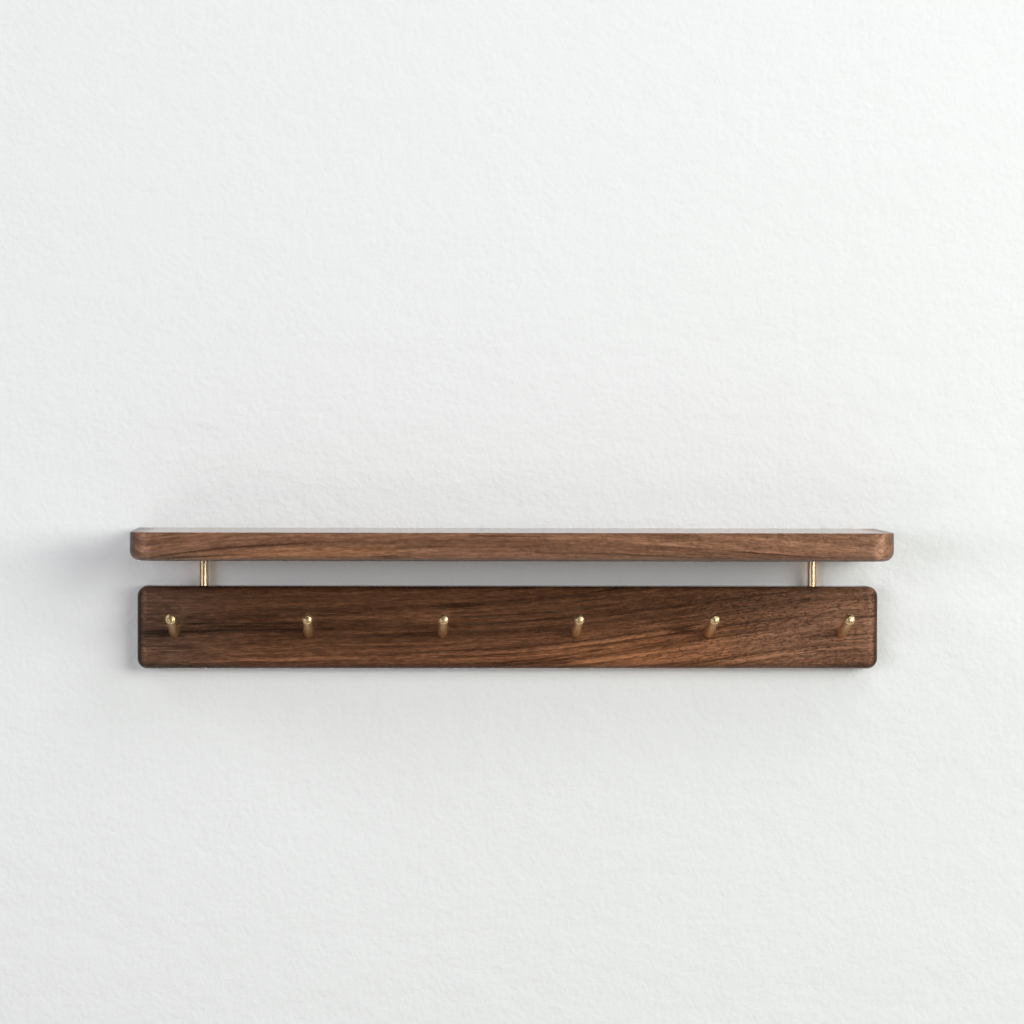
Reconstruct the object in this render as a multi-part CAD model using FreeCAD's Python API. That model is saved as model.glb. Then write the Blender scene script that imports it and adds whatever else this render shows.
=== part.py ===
import FreeCAD, Part
import math
import os

# Wall shelf: a board carried on two brass posts above a rail with a row of brass pegs.
# Millimetres. X runs along the wall to the right, -Y points into the room, +Z is up.
# The origin is the middle of the rail's back face, which lies on the wall.

# ---- driving sizes ----------------------------------------------------------------

# Both boards
board_length = 600.0

# Shelf board
shelf_depth = 120.0
shelf_thickness = 22.5
shelf_corner_radius = 15.0      # front corners, seen from above
shelf_round_over = 8.0          # lower edge along the front and both ends
shelf_top_ease = 0.6            # upper edge along the front and both ends

# Peg rail
rail_height = 67.0
rail_thickness = 20.0
rail_corner_radius = 8.5        # four corners, seen from the front
rail_round_over = 5.0           # all round the front face

# Posts between the rail and the shelf
shelf_gap = 24.0                # rail top to shelf underside
post_diameter = 8.0
post_inset = 53.0               # board end to post axis
post_depth_in_rail = 30.0
post_depth_in_shelf = 15.0
post_end_chamfer = 0.6
post_glue_gap = 0.1             # on the radius

# Pegs: a plain seat inside the rail, a tapered shank, a small bead at the tip
peg_count = 6
peg_base_diameter = 8.8         # seat, and the wide end of the shank
peg_neck_diameter = 7.0         # narrow end of the shank, behind the bead
peg_head_diameter = 8.2
peg_head_length = 8.0           # neck to tip
peg_tip_radius = 2.6            # edge of the tip
peg_tip_rise = 0.7              # height of the shallow dome on the tip
peg_end_margin = 30.0           # board end to first and last peg axis
peg_drop = 37.5                 # rail top to the point where a peg's axis leaves the face
peg_tilt = 15.0                 # degrees above level, outwards
peg_reach = 56.0                # along the axis, from the face to the tip
peg_seat_depth = 11.0           # along the axis, inside the rail
peg_glue_gap = 0.1              # on the radius

# Machine screws that hold the pegs from behind
peg_screw_diameter = 4.0
peg_screw_grip = 7.5            # thread inside the peg
peg_screw_tap_spare = 2.0       # tapped depth beyond the screw's end
peg_screw_head_diameter = 7.0
peg_screw_head_height = 2.6
peg_screw_socket = 2.5          # across the flats
peg_screw_socket_depth = 1.4
peg_screw_pocket_depth = 5.0    # along the axis, from the rail's back
thread_gap = 0.05               # on the radius
shank_gap = 0.25                # on the radius
head_gap = 0.5                  # on the radius

# Keyhole hangers let into the rail's back
hanger_width = 16.0
hanger_height = 42.0
hanger_thickness = 1.6
hanger_sink = 0.3               # plate below the rail's back face
hanger_fit_gap = 0.2            # all round the plate
keyhole_entry_diameter = 9.0
keyhole_slot_width = 4.5
keyhole_slot_rise = 9.0         # entry centre to slot end centre
keyhole_entry_drop = 4.5        # plate centre to entry centre
head_pocket_width = 11.0
head_pocket_depth = 6.0         # behind the plate
hanger_screw_spacing = 30.0

# Countersunk wood screws in the hangers
wood_screw_diameter = 3.0
wood_screw_head_diameter = 5.8
wood_screw_length = 12.0
wood_screw_point = 2.5          # length of the pointed end
wood_screw_slot_width = 0.8
wood_screw_slot_depth = 0.6
wood_screw_hole_gap = 0.1       # on the radius, in the plate

# ---- places worked out from the sizes ---------------------------------------------

rail_top = rail_height / 2
shelf_bottom = rail_top + shelf_gap
shelf_top = shelf_bottom + shelf_thickness
post_y = -rail_thickness / 2
post_x = board_length / 2 - post_inset
peg_spacing = (board_length - 2 * peg_end_margin) / (peg_count - 1)
peg_first_x = peg_end_margin - board_length / 2
peg_z = rail_top - peg_drop
peg_path = rail_thickness / math.cos(math.radians(peg_tilt))
peg_web = peg_path - peg_seat_depth - peg_screw_pocket_depth
hanger_x = board_length / 2 - peg_end_margin - peg_spacing / 2
hanger_seat_y = -(hanger_sink + hanger_thickness)

along_x = FreeCAD.Vector(1, 0, 0)
into_room = FreeCAD.Vector(0, -1, 0)
up = FreeCAD.Vector(0, 0, 1)
origin = FreeCAD.Vector(0, 0, 0)


# ---- helpers ----------------------------------------------------------------------

def rod(radius, start, end):
    """A round bar along Z from start to end."""
    return Part.makeCylinder(radius, end - start, FreeCAD.Vector(0, 0, start), up)


def turned(points):
    """A solid turned about Z from its (radius, height) outline, listed from axis to axis."""
    corners = [FreeCAD.Vector(radius, 0, height) for radius, height in points]
    outline = Part.makePolygon(corners + [corners[0]])
    return Part.Face(outline).revolve(origin, up, 360)


def on_peg_axis(shape, x):
    """Put a shape made along Z onto the peg axis at x, with z = 0 at the rail's face."""
    placed = shape.copy()
    placed.rotate(origin, along_x, 90 - peg_tilt)
    placed.translate(FreeCAD.Vector(x, -rail_thickness, peg_z))
    return placed


def stadium(width, low, high, y_start, depth, x):
    """An upright round-ended bar in the wall plane; low and high are its end centres."""
    radius = width / 2
    body = Part.makeBox(width, depth, high - low, FreeCAD.Vector(x - radius, y_start - depth, low))
    for z in (low, high):
        end = Part.makeCylinder(radius, depth, FreeCAD.Vector(x, y_start, z), into_room)
        body = body.fuse(end)
    return body.removeSplitter()


def edges_where(shape, test):
    """The edges of a shape whose two ends and middle all pass a test."""
    found = []
    for edge in shape.Edges:
        middle = edge.valueAt((edge.FirstParameter + edge.LastParameter) / 2)
        points = [vertex.Point for vertex in edge.Vertexes] + [middle]
        if all(test(point) for point in points):
            found.append(edge)
    return found


def near(a, b):
    return abs(a - b) < 1e-6


def peg_places():
    return [peg_first_x + i * peg_spacing for i in range(peg_count)]


def hanger_screw_heights():
    return (hanger_screw_spacing / 2, -hanger_screw_spacing / 2)


# ---- boards -----------------------------------------------------------------------

def post_hole(x, low, high):
    hole = rod(post_diameter / 2 + post_glue_gap, low, high)
    hole.translate(FreeCAD.Vector(x, post_y, 0))
    return hole


def shelf_board():
    corner = FreeCAD.Vector(-board_length / 2, -shelf_depth, shelf_bottom)
    board = Part.makeBox(board_length, shelf_depth, shelf_thickness, corner)
    upright = edges_where(
        board,
        lambda p: near(p.y, -shelf_depth) and near(abs(p.x), board_length / 2),
    )
    board = board.makeFillet(shelf_corner_radius, upright)
    lower = edges_where(board, lambda p: near(p.z, shelf_bottom))
    lower = [edge for edge in lower if not near(edge.CenterOfMass.y, 0)]
    board = board.makeFillet(shelf_round_over, lower)
    upper = edges_where(board, lambda p: near(p.z, shelf_top))
    upper = [edge for edge in upper if not near(edge.CenterOfMass.y, 0)]
    board = board.makeFillet(shelf_top_ease, upper)
    for x in (-post_x, post_x):
        board = board.cut(post_hole(x, shelf_bottom, shelf_bottom + post_depth_in_shelf))
    return board


def rail_blank():
    corner = FreeCAD.Vector(-board_length / 2, -rail_thickness, -rail_height / 2)
    rail = Part.makeBox(board_length, rail_thickness, rail_height, corner)
    corners = edges_where(
        rail,
        lambda p: near(abs(p.x), board_length / 2) and near(abs(p.z), rail_height / 2),
    )
    rail = rail.makeFillet(rail_corner_radius, corners)
    front = edges_where(rail, lambda p: near(p.y, -rail_thickness))
    return rail.makeFillet(rail_round_over, front)


def peg_bore():
    """The stepped hole for one peg and its screw, along Z with z = 0 at the face."""
    spare = rail_thickness
    seat = rod(peg_base_diameter / 2 + peg_glue_gap, -peg_seat_depth, spare)
    shank = rod(peg_screw_diameter / 2 + shank_gap, -peg_seat_depth - peg_web, -peg_seat_depth)
    head_radius = peg_screw_head_diameter / 2 + head_gap
    pocket = rod(head_radius, -peg_path - spare, -peg_seat_depth - peg_web)
    return seat.fuse([shank, pocket])


def hanger_recess(x):
    """The shallow seat for one hanger plate, the pocket behind its keyhole, and the pilots."""
    radius = hanger_width / 2
    reach = hanger_height / 2 - radius
    seat_width = hanger_width + 2 * hanger_fit_gap
    seat = stadium(seat_width, -reach, reach, 0, -hanger_seat_y, x)
    slot_end = keyhole_slot_rise - keyhole_entry_drop
    pocket = stadium(
        head_pocket_width, -keyhole_entry_drop, slot_end, hanger_seat_y, head_pocket_depth, x
    )
    cutter = seat.fuse(pocket)
    pilot_depth = wood_screw_length - hanger_thickness
    for z in hanger_screw_heights():
        base = FreeCAD.Vector(x, hanger_seat_y, z)
        straight = pilot_depth - wood_screw_point
        cutter = cutter.fuse(Part.makeCylinder(wood_screw_diameter / 2, straight, base, into_room))
        tip_base = base + into_room * straight
        tip = Part.makeCone(wood_screw_diameter / 2, 0, wood_screw_point, tip_base, into_room)
        cutter = cutter.fuse(tip)
    return cutter


def back_rail():
    rail = rail_blank()
    for x in (-post_x, post_x):
        rail = rail.cut(post_hole(x, rail_top - post_depth_in_rail, rail_top))
    for x in peg_places():
        rail = rail.cut(on_peg_axis(peg_bore(), x))
    for x in (-hanger_x, hanger_x):
        rail = rail.cut(hanger_recess(x))
    return rail


# ---- brass ------------------------------------------------------------------------

def post(x):
    length = post_depth_in_rail + shelf_gap + post_depth_in_shelf
    radius = post_diameter / 2
    bar = turned([
        (0, 0),
        (radius - post_end_chamfer, 0),
        (radius, post_end_chamfer),
        (radius, length - post_end_chamfer),
        (radius - post_end_chamfer, length),
        (0, length),
    ])
    bar.translate(FreeCAD.Vector(x, post_y, rail_top - post_depth_in_rail))
    return bar


def arc(start, middle, end):
    return Part.Arc(start, middle, end).toShape()


def line(start, end):
    return Part.LineSegment(start, end).toShape()


def on_outline(radius, height):
    return FreeCAD.Vector(radius, 0, height)


def peg(x):
    """A turned peg: plain seat, tapered shank, round-edged bead, tapped hole in the hidden end."""
    base = peg_base_diameter / 2
    neck = peg_neck_diameter / 2
    head = peg_head_diameter / 2
    flat = head - peg_tip_radius
    # The tilted rail face cuts the shank in an ellipse, so the plain part ends beyond it.
    plain_end = base * math.tan(math.radians(peg_tilt))
    neck_end = peg_reach - peg_head_length
    head_start = neck_end + head - neck
    rim = peg_reach - peg_tip_rise
    shoulder = rim - peg_tip_radius
    arc_middle = peg_tip_radius * math.sqrt(0.5)
    dome_radius = (flat ** 2 + peg_tip_rise ** 2) / (2 * peg_tip_rise)
    dome_half = flat / 2
    dome_drop = dome_radius - math.sqrt(dome_radius ** 2 - dome_half ** 2)
    outline = Part.Wire([
        line(on_outline(0, -peg_seat_depth), on_outline(base, -peg_seat_depth)),
        line(on_outline(base, -peg_seat_depth), on_outline(base, plain_end)),
        line(on_outline(base, plain_end), on_outline(neck, neck_end)),
        line(on_outline(neck, neck_end), on_outline(head, head_start)),
        line(on_outline(head, head_start), on_outline(head, shoulder)),
        arc(
            on_outline(head, shoulder),
            on_outline(flat + arc_middle, shoulder + arc_middle),
            on_outline(flat, rim),
        ),
        arc(
            on_outline(flat, rim),
            on_outline(dome_half, peg_reach - dome_drop),
            on_outline(0, peg_reach),
        ),
        line(on_outline(0, peg_reach), on_outline(0, -peg_seat_depth)),
    ])
    bar = Part.Face(outline).revolve(origin, up, 360)
    tap_end = -peg_seat_depth + peg_screw_grip + peg_screw_tap_spare
    tapped = rod(peg_screw_diameter / 2 + thread_gap, -peg_seat_depth, tap_end)
    return on_peg_axis(bar.cut(tapped), x)


# ---- steel ------------------------------------------------------------------------

def peg_screw(x):
    """A cheese-head socket screw, driven from the rail's back into a peg."""
    seat = -peg_seat_depth - peg_web
    head_top = seat - peg_screw_head_height
    shank = rod(peg_screw_diameter / 2, seat, -peg_seat_depth + peg_screw_grip)
    head = rod(peg_screw_head_diameter / 2, head_top, seat)
    across_corners = peg_screw_socket / math.cos(math.pi / 6)
    corners = []
    for i in range(7):
        angle = i * math.pi / 3
        reach = across_corners / 2
        corners.append(FreeCAD.Vector(reach * math.cos(angle), reach * math.sin(angle), head_top))
    socket = Part.Face(Part.makePolygon(corners)).extrude(up * peg_screw_socket_depth)
    return on_peg_axis(shank.fuse(head).cut(socket), x)


def countersink(gap):
    """A screw head's cone in the plate, along Z from the head's flat face at z = 0."""
    head_radius = wood_screw_head_diameter / 2
    neck_radius = wood_screw_diameter / 2 + gap
    depth = head_radius - neck_radius
    return Part.makeCone(head_radius, neck_radius, depth)


def on_hanger(shape, x, z):
    """Put a shape made along Z, z = 0 at the plate's outer face, into the rail's back."""
    placed = shape.copy()
    placed.rotate(origin, along_x, 90)
    placed.translate(FreeCAD.Vector(x, -hanger_sink, z))
    return placed


def keyhole_hanger(x):
    radius = hanger_width / 2
    reach = hanger_height / 2 - radius
    outer_y = -hanger_sink
    plate = stadium(hanger_width, -reach, reach, outer_y, hanger_thickness, x)
    slot_end = keyhole_slot_rise - keyhole_entry_drop
    slot = stadium(
        keyhole_slot_width, -keyhole_entry_drop, slot_end, outer_y, hanger_thickness, x
    )
    entry_base = FreeCAD.Vector(x, outer_y, -keyhole_entry_drop)
    entry = Part.makeCylinder(
        keyhole_entry_diameter / 2, hanger_thickness, entry_base, into_room
    )
    plate = plate.cut(slot.fuse(entry))
    hole = rod(wood_screw_diameter / 2 + wood_screw_hole_gap, 0, hanger_thickness)
    hole = hole.fuse(countersink(wood_screw_hole_gap))
    for z in hanger_screw_heights():
        plate = plate.cut(on_hanger(hole, x, z))
    return plate


def hanger_screw(x, z):
    radius = wood_screw_diameter / 2
    straight = wood_screw_length - wood_screw_point
    head = countersink(0)
    shank = rod(radius, 0, straight)
    point = Part.makeCone(radius, 0, wood_screw_point, FreeCAD.Vector(0, 0, straight), up)
    slot_corner = FreeCAD.Vector(-wood_screw_head_diameter, -wood_screw_slot_width / 2, 0)
    slot = Part.makeBox(
        2 * wood_screw_head_diameter, wood_screw_slot_width, wood_screw_slot_depth, slot_corner
    )
    return on_hanger(head.fuse([shank, point]).cut(slot), x, z)


# ---- write the pieces -------------------------------------------------------------

def write(name, shape):
    solid = shape.removeSplitter()
    solid.exportStep("parts/" + name + ".step")
    print(name, "valid" if solid.isValid() else "INVALID", len(solid.Solids), round(solid.Volume, 2))


os.makedirs("parts", exist_ok=True)
write("shelf_board", shelf_board())
write("back_rail", back_rail())
for side, sign in (("left", -1), ("right", 1)):
    write("post_" + side, post(sign * post_x))
    write("keyhole_hanger_" + side, keyhole_hanger(sign * hanger_x))
    for place, z in zip(("upper", "lower"), hanger_screw_heights()):
        write("hanger_screw_" + side + "_" + place, hanger_screw(sign * hanger_x, z))
for number, x in enumerate(peg_places(), start=1):
    write("peg_" + str(number), peg(x))
    write("peg_screw_" + str(number), peg_screw(x))
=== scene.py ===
import math

import bmesh
import bpy
from mathutils import Matrix, Vector


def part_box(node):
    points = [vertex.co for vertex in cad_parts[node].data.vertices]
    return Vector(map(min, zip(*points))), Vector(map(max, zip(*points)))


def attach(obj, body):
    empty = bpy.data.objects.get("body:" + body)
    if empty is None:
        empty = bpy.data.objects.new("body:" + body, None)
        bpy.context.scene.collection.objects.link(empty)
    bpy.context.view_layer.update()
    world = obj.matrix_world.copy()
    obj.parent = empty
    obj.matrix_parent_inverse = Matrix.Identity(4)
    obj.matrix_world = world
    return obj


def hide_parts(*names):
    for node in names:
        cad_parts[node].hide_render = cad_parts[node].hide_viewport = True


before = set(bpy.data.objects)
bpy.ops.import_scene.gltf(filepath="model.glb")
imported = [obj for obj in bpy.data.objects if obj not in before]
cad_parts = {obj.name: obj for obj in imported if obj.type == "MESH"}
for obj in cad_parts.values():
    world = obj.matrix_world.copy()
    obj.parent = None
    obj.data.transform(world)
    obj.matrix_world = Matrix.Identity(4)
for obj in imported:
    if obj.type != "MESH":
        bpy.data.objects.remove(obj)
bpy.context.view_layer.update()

# A wall shelf: a walnut board on two brass posts above a walnut rail with six brass pegs.
# Metres. X runs along the wall to the right, -Y points into the room, +Z is up.

# ---- sizes taken from the frame -----------------------------------------------------

shelf_low, shelf_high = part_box("shelf_board")
rail_low, rail_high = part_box("back_rail")
post_low, post_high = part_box("post_left")
first_peg_low, first_peg_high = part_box("peg_1")
last_peg_low, last_peg_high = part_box("peg_6")
hanger_low, hanger_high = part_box("keyhole_hanger_left")
upper_screw_low, upper_screw_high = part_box("hanger_screw_left_upper")
lower_screw_low, lower_screw_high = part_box("hanger_screw_left_lower")


def middle(low, high):
    return (Vector(low) + Vector(high)) / 2


peg_count = 6
peg_first_x = middle(first_peg_low, first_peg_high).x
peg_step = (middle(last_peg_low, last_peg_high).x - peg_first_x) / (peg_count - 1)
post_place = middle(post_low, post_high)
post_width = post_high[0] - post_low[0]
hanger_place = middle(hanger_low, hanger_high)
hanger_back = hanger_high[1]
upper_screw_z = middle(upper_screw_low, upper_screw_high).z
screw_rise = upper_screw_z - middle(lower_screw_low, lower_screw_high).z

# ---- sizes of the boards' edges and the turned pieces --------------------------------

MM = 0.001

shelf_corner_radius = 15 * MM
shelf_round_over = 8 * MM
shelf_top_ease = 0.6 * MM
rail_corner_radius = 8.5 * MM
rail_round_over = 5 * MM
back_ease = 0.4 * MM            # hand-sanded arris where a board meets the wall
arc_steps = 14                  # faces round a quarter turn of a board's edge
corner_steps = 16
ease_steps = 4
back_ease_steps = 3
flat_margin = 0.25 * MM         # narrow strip that keeps the flats flat beside a round

post_chamfer = 0.6 * MM
post_gap = 0.12 * MM            # glue line round a post, on the radius
round_steps = 72                # faces round a turned piece
small_round_steps = 48          # faces round a screw or a hidden bore
keyhole_round_steps = 64
post_round_steps = 96           # more for the posts, whose reflections show each face

peg_drop = 37.5 * MM
peg_tilt = math.radians(15)
peg_base_radius = 4.4 * MM
peg_neck_radius = 3.5 * MM
peg_head_radius = 4.1 * MM
peg_head_length = 8 * MM
peg_tip_radius = 2.6 * MM
peg_tip_rise = 0.7 * MM
tip_steps = 18
tip_squareness = 0.72           # 1 is an ellipse, less is flatter with a rounder rim
peg_reach = 56 * MM
peg_shank_steps = 10
peg_neck_steps = 6
peg_neck_stretch = 2.2          # how long the soft neck is for its depth
peg_seat_depth = 11 * MM
peg_gap = 0.12 * MM

peg_screw_radius = 2 * MM
peg_screw_shank_gap = 0.25 * MM
peg_screw_grip = 7.5 * MM
peg_screw_head_radius = 3.5 * MM
peg_screw_head_height = 2.6 * MM
peg_screw_socket = 2.5 * MM
peg_screw_socket_depth = 1.4 * MM
peg_screw_pocket_depth = 5 * MM
peg_screw_pocket_radius = 4 * MM
peg_screw_ease = 0.35 * MM
peg_screw_point = 0.5 * MM
peg_screw_seat_strip = 0.02 * MM    # keeps the head's side straight down to its seat

hanger_width = 16 * MM
hanger_thickness = 1.6 * MM
hanger_fit_gap = 0.2 * MM
keyhole_entry_radius = 4.5 * MM
keyhole_slot_radius = 2.25 * MM
keyhole_slot_rise = 9 * MM
keyhole_entry_drop = 4.5 * MM
head_pocket_radius = 5.5 * MM
head_pocket_depth = 6 * MM
wood_screw_radius = 1.5 * MM
wood_screw_head_radius = 2.9 * MM
wood_screw_length = 12 * MM
wood_screw_point = 2.5 * MM
wood_screw_ease = 0.1 * MM
wood_screw_gap = 0.1 * MM
wood_screw_slot_width = 0.8 * MM
wood_screw_slot_depth = 0.6 * MM

rail_front = rail_low[1]
rail_thickness = -rail_front
rail_top = rail_high[2]
peg_z = rail_top - peg_drop
peg_axis = Vector((0, -math.cos(peg_tilt), math.sin(peg_tilt)))
peg_path = rail_thickness / math.cos(peg_tilt)
peg_web = peg_path - peg_seat_depth - peg_screw_pocket_depth
peg_screw_shank = peg_web + peg_screw_grip
cut_past = 10 * MM              # how far a cutting shape reaches beyond a board
plate_cut_past = 2 * MM         # the same for a plate
small_cut_past = 1 * MM         # the same for a screw's head


# ---- arithmetic on node sockets --------------------------------------------------------

class Value:
    """A number or vector socket; arithmetic on it adds the nodes that do the same."""

    def __init__(self, tree, socket):
        self.tree = tree
        self.socket = socket

    def maths(self, operation, *numbers):
        inputs = dict(enumerate(numbers))
        return self.tree.add("ShaderNodeMath", {"operation": operation}, inputs)["Value"]

    def __add__(self, other):
        return self.maths("ADD", self, other)

    def __radd__(self, other):
        return self.maths("ADD", other, self)

    def __sub__(self, other):
        return self.maths("SUBTRACT", self, other)

    def __rsub__(self, other):
        return self.maths("SUBTRACT", other, self)

    def __mul__(self, other):
        return self.maths("MULTIPLY", self, other)

    def __rmul__(self, other):
        return self.maths("MULTIPLY", other, self)

    def __pow__(self, other):
        return self.maths("POWER", self, other)

    def root(self):
        return self.maths("SQRT", self)

    def size(self):
        return self.maths("ABSOLUTE", self)

    def between(self, low, high):
        """0 below low, 1 above high, and a smooth step from one to the other."""
        inputs = {"Value": self, "From Min": low, "From Max": high}
        settings = {"interpolation_type": "SMOOTHSTEP", "clamp": True}
        return self.tree.add("ShaderNodeMapRange", settings, inputs)["Result"]

    def hump(self, centre, width):
        """1 at the centre, falling smoothly to 0 at a width to each side."""
        return 1 - (self - centre).size().between(0, width)


class Tree:
    """A node tree, with one way to put a node into it."""

    def __init__(self, nodes):
        self.nodes = nodes

    def add(self, kind, settings=None, inputs=None):
        node = self.nodes.nodes.new(kind)
        for name, setting in (settings or {}).items():
            if name == "stops":
                set_stops(node.color_ramp, setting)
            else:
                setattr(node, name, setting)
        for name, given in (inputs or {}).items():
            if isinstance(given, Value):
                self.nodes.links.new(given.socket, node.inputs[name])
            else:
                node.inputs[name].default_value = given
        return Outputs(self, node)


class Outputs:
    """A node's outputs by name, each as a Value."""

    def __init__(self, tree, node):
        self.tree = tree
        self.node = node

    def __getitem__(self, name):
        return Value(self.tree, self.node.outputs[name])


def set_stops(colour_ramp, stops):
    elements = colour_ramp.elements
    for place, colour in stops[len(elements):]:
        elements.new(place)
    for element, (place, colour) in zip(elements, stops):
        element.position = place
        element.color = (*colour, 1)


def new_material(name):
    """An empty material and its tree."""
    material = bpy.data.materials.new(name)
    material.use_nodes = True
    material.node_tree.nodes.clear()
    return material, Tree(material.node_tree)


def finish_material(tree, shader):
    tree.add("ShaderNodeOutputMaterial", None, {"Surface": shader})


def object_place(tree):
    """Object coordinates as a vector and as its three numbers."""
    place = tree.add("ShaderNodeTexCoord")["Object"]
    parts = tree.add("ShaderNodeSeparateXYZ", None, {"Vector": place})
    return place, parts["X"], parts["Y"], parts["Z"]


def vector(tree, x, y, z):
    return tree.add("ShaderNodeCombineXYZ", None, {"X": x, "Y": y, "Z": z})["Vector"]


def noise(tree, place, scale, detail=2.0, roughness=0.5, distortion=0.0):
    inputs = {
        "Vector": place,
        "Scale": scale,
        "Detail": detail,
        "Roughness": roughness,
        "Distortion": distortion,
    }
    return tree.add("ShaderNodeTexNoise", {"noise_dimensions": "3D"}, inputs)["Fac"]


def blend_colours(tree, amount, first, second, way="MIX"):
    settings = {"data_type": "RGBA", "blend_type": way, "clamp_factor": True}
    node = tree.add("ShaderNodeMix", settings)
    for name, given in ((0, amount), (6, first), (7, second)):
        if isinstance(given, Value):
            tree.nodes.links.new(given.socket, node.node.inputs[name])
        elif name == 0:
            node.node.inputs[name].default_value = given
        else:
            node.node.inputs[name].default_value = (*given, 1)
    return Value(tree, node.node.outputs[2])


def ramp(tree, amount, stops):
    return tree.add("ShaderNodeValToRGB", {"stops": stops}, {"Fac": amount})["Color"]


# ---- finishes --------------------------------------------------------------------------

def grain_rise(x, lie):
    """How far the fibres have risen at x, for a plain number or a Value."""
    rise = x * lie["slope"]
    for place, change, ease in lie["bends"]:
        run = x - place
        reach = run * run + ease * ease
        reach = reach.root() if isinstance(reach, Value) else math.sqrt(reach)
        rise = rise + (run + reach) * (change / 2)
    return rise


def grain_field(tree, lie):
    """Coordinates that follow the grain of one board.

    The fibres run along X and bend gently up or down; the growth rings are circles
    about a pith line, so the ends show arcs and the faces show long lines.
    """
    place, x, y, z = object_place(tree)
    slow = noise(tree, vector(tree, x * 3.6, y * 16, z * 16), 1.0, 2.0)
    slower = noise(tree, vector(tree, x * 1.4 + 7.3, y * 7, z * 7), 1.0, 1.0)
    wobble = noise(tree, vector(tree, x * 30, y * 60, z * 60), 1.0, 2.0)
    rise = (grain_rise(x, lie) - grain_rise(0.0, lie)) * (lie["fan_level"] - z * lie["fan"])
    drift = (slow - 0.5) * lie["drift"] + (slower - 0.5) * (lie["drift"] * 1.5)
    drift = drift + (wobble - 0.5) * lie["wobble"]
    across = z - rise + drift
    inward = y + drift
    ring = ((across - lie["pith_z"]) ** 2 + (inward - lie["pith_y"]) ** 2).root()
    return place, x, y, z, across, inward, ring


def stroke(x, across, start, end, height, width, fade=0.03):
    """1 along a line of the grain between two places along the board, 0 away from it."""
    along = x.between(start - fade, start + fade) * (1 - x.between(end - fade, end + fade))
    return across.hump(height, width) * along


def grain_lines(x, across, lines):
    """The lift that a board's own light and dark lines of grain give to its tone."""
    lift = 0
    for start, end, height, width, fade, change in lines:
        lift = lift + stroke(x, across, start, end, height, width, fade) * change
    return lift


def board_ends(x, half, depth):
    """1 on a board's two cut ends. The finish roughens the end grain there, and the boards' tones use
    it for painted shade on the ends, whose rounds turn away from the light.
    """
    return x.size().between(half - depth, half - depth * 0.25)


def walnut(name, lie, look, shape):
    """Oiled walnut for one board: how its grain lies, how it looks, and a function that
    places its lighter, darker, warmer, greyer, streaked and speckled parts, painted light and shade
    among them.

    Each noise is stretched along the fibres: the numbers that multiply x are changes per
    metre along the board, and those that multiply ring, across and inward are changes per
    metre from ring to ring.
    """
    material, tree = new_material(name)
    place, x, y, z, across, inward, ring = grain_field(tree, lie)
    parts = shape(tree, x, across, z)
    bands = noise(tree, vector(tree, x * 2.4, ring * 110, 0.5), 1.0, 2.0, 0.6)
    sweeps = noise(tree, vector(tree, x * 2.2, ring * 240, 6.5), 1.0, 1.0, 0.5)
    streaks = noise(tree, vector(tree, x * 3.4, ring * 340, inward * 60), 1.0, 2.0, 0.6)
    fine = noise(tree, vector(tree, x * 38, ring * 620, inward * 300), 1.0, 2.0, 0.6)
    fibres = noise(tree, vector(tree, x * 140, across * 1300, inward * 1300), 1.0, 1.0, 0.6)
    lively = (streaks.between(0.34, 0.66) - 0.5) * look["streaks"]
    lively = lively + (fine.between(0.34, 0.66) - 0.5) * look["fine"]
    tone = (bands - 0.5) * look["bands"] + (sweeps - 0.5) * look["sweeps"] + 0.5
    tone = tone + lively * parts["streaks"]
    tone = tone + (fibres.between(0.3, 0.7) - 0.5) * look["fibres"]

    # Thin dark lines where one growth ring ends, in patches along the board.
    lines = noise(tree, vector(tree, x * 3.5, ring * 190, 3.1), 1.0, 2.0, 0.5)
    thin = 1 - (lines - 0.5).size().between(0.0, look["line_width"])
    patches = noise(tree, vector(tree, x * 9, across * 70, 9.7), 1.0, 1.0)
    tone = tone - thin * patches.between(0.42, 0.62) * look["lines"]

    # Ragged dark dashes, and pores: short dark specks, more of them in some places.
    dashes = noise(tree, vector(tree, x * 20, ring * 420, 2.2), 1.0, 2.0, 0.6)
    tone = tone - dashes.between(0.52, 0.66) * parts["dashes"]
    pore_field = noise(tree, vector(tree, x * 380, ring * 720, inward * 720), 1.0, 2.0, 0.6)
    pores = pore_field.between(0.48, 0.66)
    tone = tone - pores * (parts["specks"] * look["pores"]) + parts["tone"]

    colour = ramp(tree, tone, look["stops"])
    colour = blend_colours(tree, parts["warm"], colour, blend_colours(
        tree, 1.0, colour, look["warm"], "MULTIPLY"))
    colour = blend_colours(tree, parts["grey"], colour, blend_colours(
        tree, 1.0, colour, look["grey"], "MULTIPLY"))

    # The cut ends are rough and speckled; the top is rubbed smoothest.
    ends = board_ends(x, look["end"], 0.020)
    polished = z.between(look["top"] - 0.0010, look["top"] - 0.0002)
    relief = (fibres * 0.40 + fine * 0.35 - pores * 0.10) * (1 - polished * 0.85)
    relief = relief + ends * noise(tree, place, 620.0, 2.0, 0.6) * 3.0
    bump = tree.add("ShaderNodeBump", None, {
        "Height": relief,
        "Strength": look["bump"],
        "Distance": 0.0002,
    })["Normal"]
    roughness = (fine - 0.5) * 0.14 + pores * 0.12 + look["roughness"]
    roughness = roughness * (1 - polished * 0.55) + ends * 0.16
    shader = tree.add("ShaderNodeBsdfPrincipled", None, {
        "Base Color": colour,
        "Roughness": roughness,
        "IOR": 1.46,
        "Specular IOR Level": look["gloss"],
        "Normal": bump,
    })["BSDF"]
    finish_material(tree, shader)
    return material


# Single lines of grain: where each starts and ends along the board, its height where it
# crosses the board's middle, its half width, how long its ends fade, and how much lighter
# it is than the wood round it (darker below 0). The seam and the pale band are given
# without the values that differ from use to use.

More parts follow.
